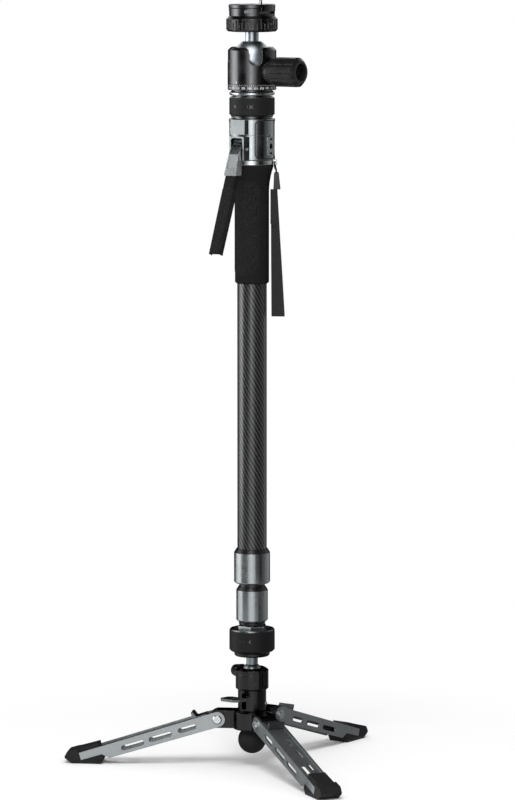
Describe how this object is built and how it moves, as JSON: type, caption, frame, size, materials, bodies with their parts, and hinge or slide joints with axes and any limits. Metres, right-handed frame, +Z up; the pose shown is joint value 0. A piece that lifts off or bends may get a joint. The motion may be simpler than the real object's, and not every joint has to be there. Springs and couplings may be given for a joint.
{
  "type": "camera monopod",
  "caption": "Extending camera monopod with folding feet, tilting base with foot pedal, squeeze release lever, ball head and round quick-release plate.",
  "frame": {"origin": "on the floor, on the column's axis, midway between the three feet", "axes": "+Z up along the column, +X towards the ball head's lock knob and the accessory socket, -Y towards the release lever and the pedal"},
  "size_m": [0.3688, 0.3193, 0.8349],
  "materials": {
    "black_metal": "satin black anodised",
    "gunmetal": "satin grey anodised",
    "leg_metal": "brushed grey anodised",
    "bright_metal": "polished",
    "carbon": "carbon fibre twill under clear coat",
    "rubber": "matt black rubber",
    "grip_rubber": "textured black grip",
    "plastic": "matt black",
    "webbing": "woven black nylon"
  },
  "bodies": {
    "base": {"hub": "black_metal", "ball_foot": "rubber", "leg_bolts": "bright_metal", "base_column": "black_metal", "base_head": "black_metal", "pedal_pin": "bright_metal"},
    "pedal": {"pedal": "leg_metal"},
    "plunger": {"brake_plunger": "bright_metal"},
    "clamp_screw": {"clamp_knob": "black_metal"},
    "seat": {"ball_seat": "plastic"},
    "swivel": {"base_ball_stem": "bright_metal", "pan_flange": "black_metal"},
    "column": {"column_foot": "bright_metal", "lower_tube": "carbon", "lower_plug": "plastic"},
    "foot_collar": {"foot_ring": "rubber"},
    "middle": {"middle_tube": "carbon", "middle_plug": "plastic", "lower_collar": "gunmetal", "lower_collar_caps": "plastic"},
    "upper": {"upper_tube": "carbon", "upper_collar": "gunmetal", "upper_collar_cap": "plastic", "grip_sleeve": "grip_rubber", "strap_ring": "plastic", "housing_lower": "gunmetal", "housing_upper": "gunmetal", "accessory_plate": "black_metal", "lever_pin": "bright_metal", "head_socket": "bright_metal", "head_disc": "bright_metal", "scale_ring": "black_metal"},
    "lever": {"lever_bracket": "gunmetal", "lever_grip": "rubber"},
    "rod": {"release_rod": "gunmetal"},
    "strap": {"strap_cord": "webbing", "strap_buckle": "plastic", "strap_webbing": "webbing"},
    "head_collar": {"head_lock_ring": "rubber"},
    "head": {"head_housing": "black_metal", "brake_shoe": "plastic"},
    "knob": {"lock_knob": "rubber"},
    "ball": {"ball_stem": "bright_metal"},
    "clamp": {"clamp_base": "black_metal"},
    "clamp_collar": {"clamp_ring": "black_metal"},
    "jaw": {"clamp_jaw": "black_metal"},
    "latch": {"clamp_latch": "bright_metal"},
    "plate": {"camera_plate": "black_metal"},
    "camera_bolt": {"camera_screw": "bright_metal"},
    "pin": {"twist_pin": "bright_metal"},
    "foot_a": {"leg_channel_a": "leg_metal", "leg_boot_a": "rubber"},
    "foot_lock_a": {"leg_lock_a": "black_metal"},
    "foot_b": {"leg_channel_b": "leg_metal", "leg_boot_b": "rubber"},
    "foot_lock_b": {"leg_lock_b": "black_metal"},
    "foot_c": {"leg_channel_c": "leg_metal", "leg_boot_c": "rubber"},
    "foot_lock_c": {"leg_lock_c": "black_metal"}
  },
  "joints": [
    {"name": "fold_a", "type": "hinge", "parent": "base", "child": "foot_a", "pos_m": [0, 0.037, 0.052], "axis": [-1, 0, 0], "range_deg": [-107, 0]},
    {"name": "foot_lock_slide_a", "type": "slide", "parent": "foot_a", "child": "foot_lock_a", "axis": [0, 0.9563, -0.2924], "range_m": [0, 0.0025], "stiffness_N_per_m": 400, "springref_m": -0.001},
    {"name": "fold_b", "type": "hinge", "parent": "base", "child": "foot_b", "pos_m": [-0.03204, -0.0185, 0.052], "axis": [0.5, -0.866, 0], "range_deg": [-107, 0]},
    {"name": "foot_lock_slide_b", "type": "slide", "parent": "foot_b", "child": "foot_lock_b", "axis": [-0.8282, -0.4781, -0.2924], "range_m": [0, 0.0025], "stiffness_N_per_m": 400, "springref_m": -0.001},
    {"name": "fold_c", "type": "hinge", "parent": "base", "child": "foot_c", "pos_m": [0.03204, -0.0185, 0.052], "axis": [0.5, 0.866, 0], "range_deg": [-107, 0]},
    {"name": "foot_lock_slide_c", "type": "slide", "parent": "foot_c", "child": "foot_lock_c", "axis": [0.8282, -0.4781, -0.2924], "range_m": [0, 0.0025], "stiffness_N_per_m": 400, "springref_m": -0.001},
    {"name": "pedal_press", "type": "hinge", "parent": "base", "child": "pedal", "pos_m": [0, 0.0042, 0.07], "axis": [1, 0, 0], "range_deg": [0, 10], "stiffness_Nm_per_rad": 0.6, "springref_deg": -5.73},
    {"name": "plunger_slide", "type": "slide", "parent": "base", "child": "plunger", "axis": [0, 0, 1], "range_m": [-0.00074, 0]},
    {"name": "clamp_screw_turn", "type": "hinge", "parent": "base", "child": "clamp_screw", "pos_m": [0, 0, 0.101], "axis": [-0.9397, 0.342, 0], "range_deg": [0, 180]},
    {"name": "tilt_direction", "type": "hinge", "parent": "base", "child": "seat", "pos_m": [0, 0, 0.104], "axis": [0, 0, 1], "continuous": true},
    {"name": "column_tilt", "type": "hinge", "parent": "seat", "child": "swivel", "pos_m": [0, 0, 0.104], "axis": [0, 1, 0], "range_deg": [0, 20]},
    {"name": "column_pan", "type": "hinge", "parent": "swivel", "child": "column", "pos_m": [0, 0, 0.1273], "axis": [0, 0, 1], "continuous": true},
    {"name": "foot_collar_turn", "type": "hinge", "parent": "column", "child": "foot_collar", "pos_m": [0, 0, 0.1273], "axis": [0, 0, 1], "range_deg": [0, 45]},
    {"name": "middle_extension", "type": "slide", "parent": "column", "child": "middle", "axis": [0, 0, 1], "range_m": [0, 0.38]},
    {"name": "upper_extension", "type": "slide", "parent": "middle", "child": "upper", "axis": [0, 0, 1], "range_m": [0, 0.38]},
    {"name": "lever_squeeze", "type": "hinge", "parent": "upper", "child": "lever", "pos_m": [0, -0.0245, 0.676], "axis": [1, 0, 0], "range_deg": [0, 11], "stiffness_Nm_per_rad": 2, "springref_deg": -11.46},
    {"name": "rod_slide", "type": "slide", "parent": "upper", "child": "rod", "axis": [0, 0, 1], "range_m": [0, 0.0034]},
    {"name": "strap_swing", "type": "hinge", "parent": "upper", "child": "strap", "pos_m": [0.02156, 0.01245, 0.6609], "axis": [0.5, -0.866, 0], "range_deg": [0, 80]},
    {"name": "head_collar_turn", "type": "hinge", "parent": "upper", "child": "head_collar", "pos_m": [0, 0, 0.7107], "axis": [0, 0, 1], "range_deg": [0, 45]},
    {"name": "head_pan", "type": "hinge", "parent": "upper", "child": "head", "pos_m": [0, 0, 0.7448], "axis": [0, 0, 1], "continuous": true},
    {"name": "knob_turn", "type": "hinge", "parent": "head", "child": "knob", "pos_m": [0.0277, 0, 0.7585], "axis": [1, 0, 0], "range_deg": [0, 180]},
    {"name": "ball_tilt", "type": "hinge", "parent": "head", "child": "ball", "pos_m": [0, 0, 0.7731], "axis": [0.7071, -0.7071, 0], "range_deg": [-33, 90]},
    {"name": "ball_spin", "type": "hinge", "parent": "ball", "child": "clamp", "pos_m": [0, 0, 0.8007], "axis": [0, 0, 1], "continuous": true},
    {"name": "clamp_collar_turn", "type": "hinge", "parent": "clamp", "child": "clamp_collar", "pos_m": [0, 0, 0.8011], "axis": [0, 0, 1], "range_deg": [0, 40]},
    {"name": "jaw_slide", "type": "slide", "parent": "clamp", "child": "jaw", "axis": [0, 1, 0], "range_m": [0, 0.0016]},
    {"name": "latch_press", "type": "slide", "parent": "clamp", "child": "latch", "axis": [0.4695, -0.8829, 0], "range_m": [-0.0008, 0], "stiffness_N_per_m": 300, "springref_m": 0.001},
    {"name": "plate_slide", "type": "slide", "parent": "clamp", "child": "plate", "axis": [1, 0, 0], "range_m": [0, 0.025]},
    {"name": "camera_screw_lift", "type": "slide", "parent": "plate", "child": "camera_bolt", "axis": [0, 0, 1], "range_m": [0, 0.005]},
    {"name": "pin_press", "type": "slide", "parent": "plate", "child": "pin", "axis": [0, 0, 1], "range_m": [-0.0045, 0], "stiffness_N_per_m": 300, "springref_m": 0.001}
  ],
  "couplings": [
    {"joint": "plunger_slide", "follows": "pedal_press", "m_per_rad": -0.0042},
    {"joint": "rod_slide", "follows": "lever_squeeze", "m_per_rad": 0.0175},
    {"joint": "jaw_slide", "follows": "clamp_collar_turn", "m_per_rad": 0.0022}
  ]
}
